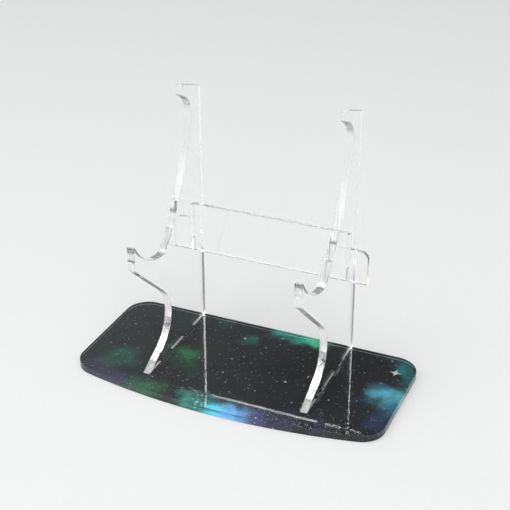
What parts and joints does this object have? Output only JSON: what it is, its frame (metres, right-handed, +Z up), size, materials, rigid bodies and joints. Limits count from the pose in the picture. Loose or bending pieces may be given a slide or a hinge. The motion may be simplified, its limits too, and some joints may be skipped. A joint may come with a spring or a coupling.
{
  "type": "display stand",
  "caption": "Slot-together clear display stand: hooked cradle uprights tied by a crossbar, on a bow-fronted base with a star-field print.",
  "frame": {"origin": "on the table, under the middle of the base", "axes": "+X to the stand's right, along the base's long side; +Y to its back; +Z up"},
  "size_m": [0.213, 0.1036, 0.1852],
  "materials": {
    "clear_base": "clear cast acrylic, polished faces",
    "star_print": "full-colour print on the underside of the base, backed in white",
    "clear_upright": "clear cast acrylic, laser-cut edges",
    "clear_crossbar": "clear cast acrylic, laser-cut edges"
  },
  "bodies": {
    "base": {"base_plate": "clear_base", "printed_backing": "star_print"},
    "left_upright": {"left_upright": "clear_upright"},
    "right_upright": {"right_upright": "clear_upright"},
    "crossbar": {"crossbar": "clear_crossbar"}
  },
  "joints": [
    {"name": "left_upright_lift", "type": "slide", "parent": "base", "child": "left_upright", "axis": [0, 0, 1], "range_m": [0, 0.006]},
    {"name": "right_upright_lift", "type": "slide", "parent": "base", "child": "right_upright", "axis": [0, 0, 1], "range_m": [0, 0.006]},
    {"name": "crossbar_lift", "type": "slide", "parent": "left_upright", "child": "crossbar", "axis": [0, 0, 1], "range_m": [0, 0.0102]}
  ],
  "couplings": [
    {"joint": "right_upright_lift", "follows": "left_upright_lift", "ratio": 1}
  ]
}
